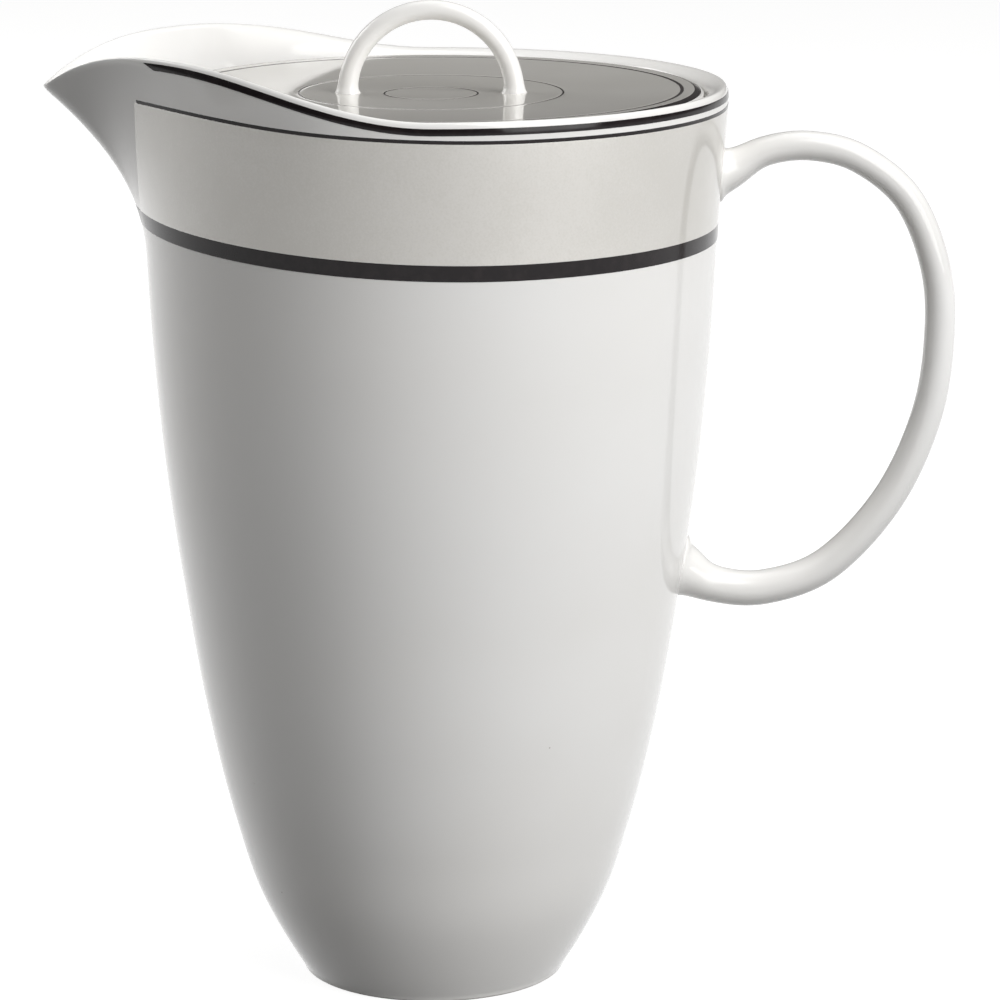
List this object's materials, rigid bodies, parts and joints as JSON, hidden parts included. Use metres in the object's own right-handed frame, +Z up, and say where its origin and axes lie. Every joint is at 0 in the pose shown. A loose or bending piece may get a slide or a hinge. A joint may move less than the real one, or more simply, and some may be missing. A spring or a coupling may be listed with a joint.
{
  "type": "lidded milk jug",
  "caption": "Tall tapered bone china jug with a swept pouring spout, a thin looped handle and a flat lift-off lid with an arched loop.",
  "frame": {"origin": "centre of the foot ring's resting face, on the body's axis", "axes": "+Z up along the body's axis, -X towards the spout, +X towards the handle; the picture looks along +Y"},
  "size_m": [0.1665, 0.108, 0.182],
  "materials": {
    "china": "gloss glazed white bone china",
    "pearl": "fired-on pearl grey lustre, gloss",
    "black": "fired-on brown-black enamel, gloss"
  },
  "bodies": {
    "jug": {"jug_body": "china", "jug_handle": "china", "pearl_band": "pearl", "shoulder_band": "black", "pinstripe": "black", "rim_band": "black"},
    "lid": {"lid": "china", "lid_loop": "china", "lid_pearl": "pearl", "lid_band": "black", "lid_pinstripe": "black", "lid_hairlines": "black"}
  },
  "joints": [
    {"name": "lid_lift", "type": "slide", "parent": "jug", "child": "lid", "axis": [0, 0, 1], "range_m": [0, 0.035]}
  ]
}
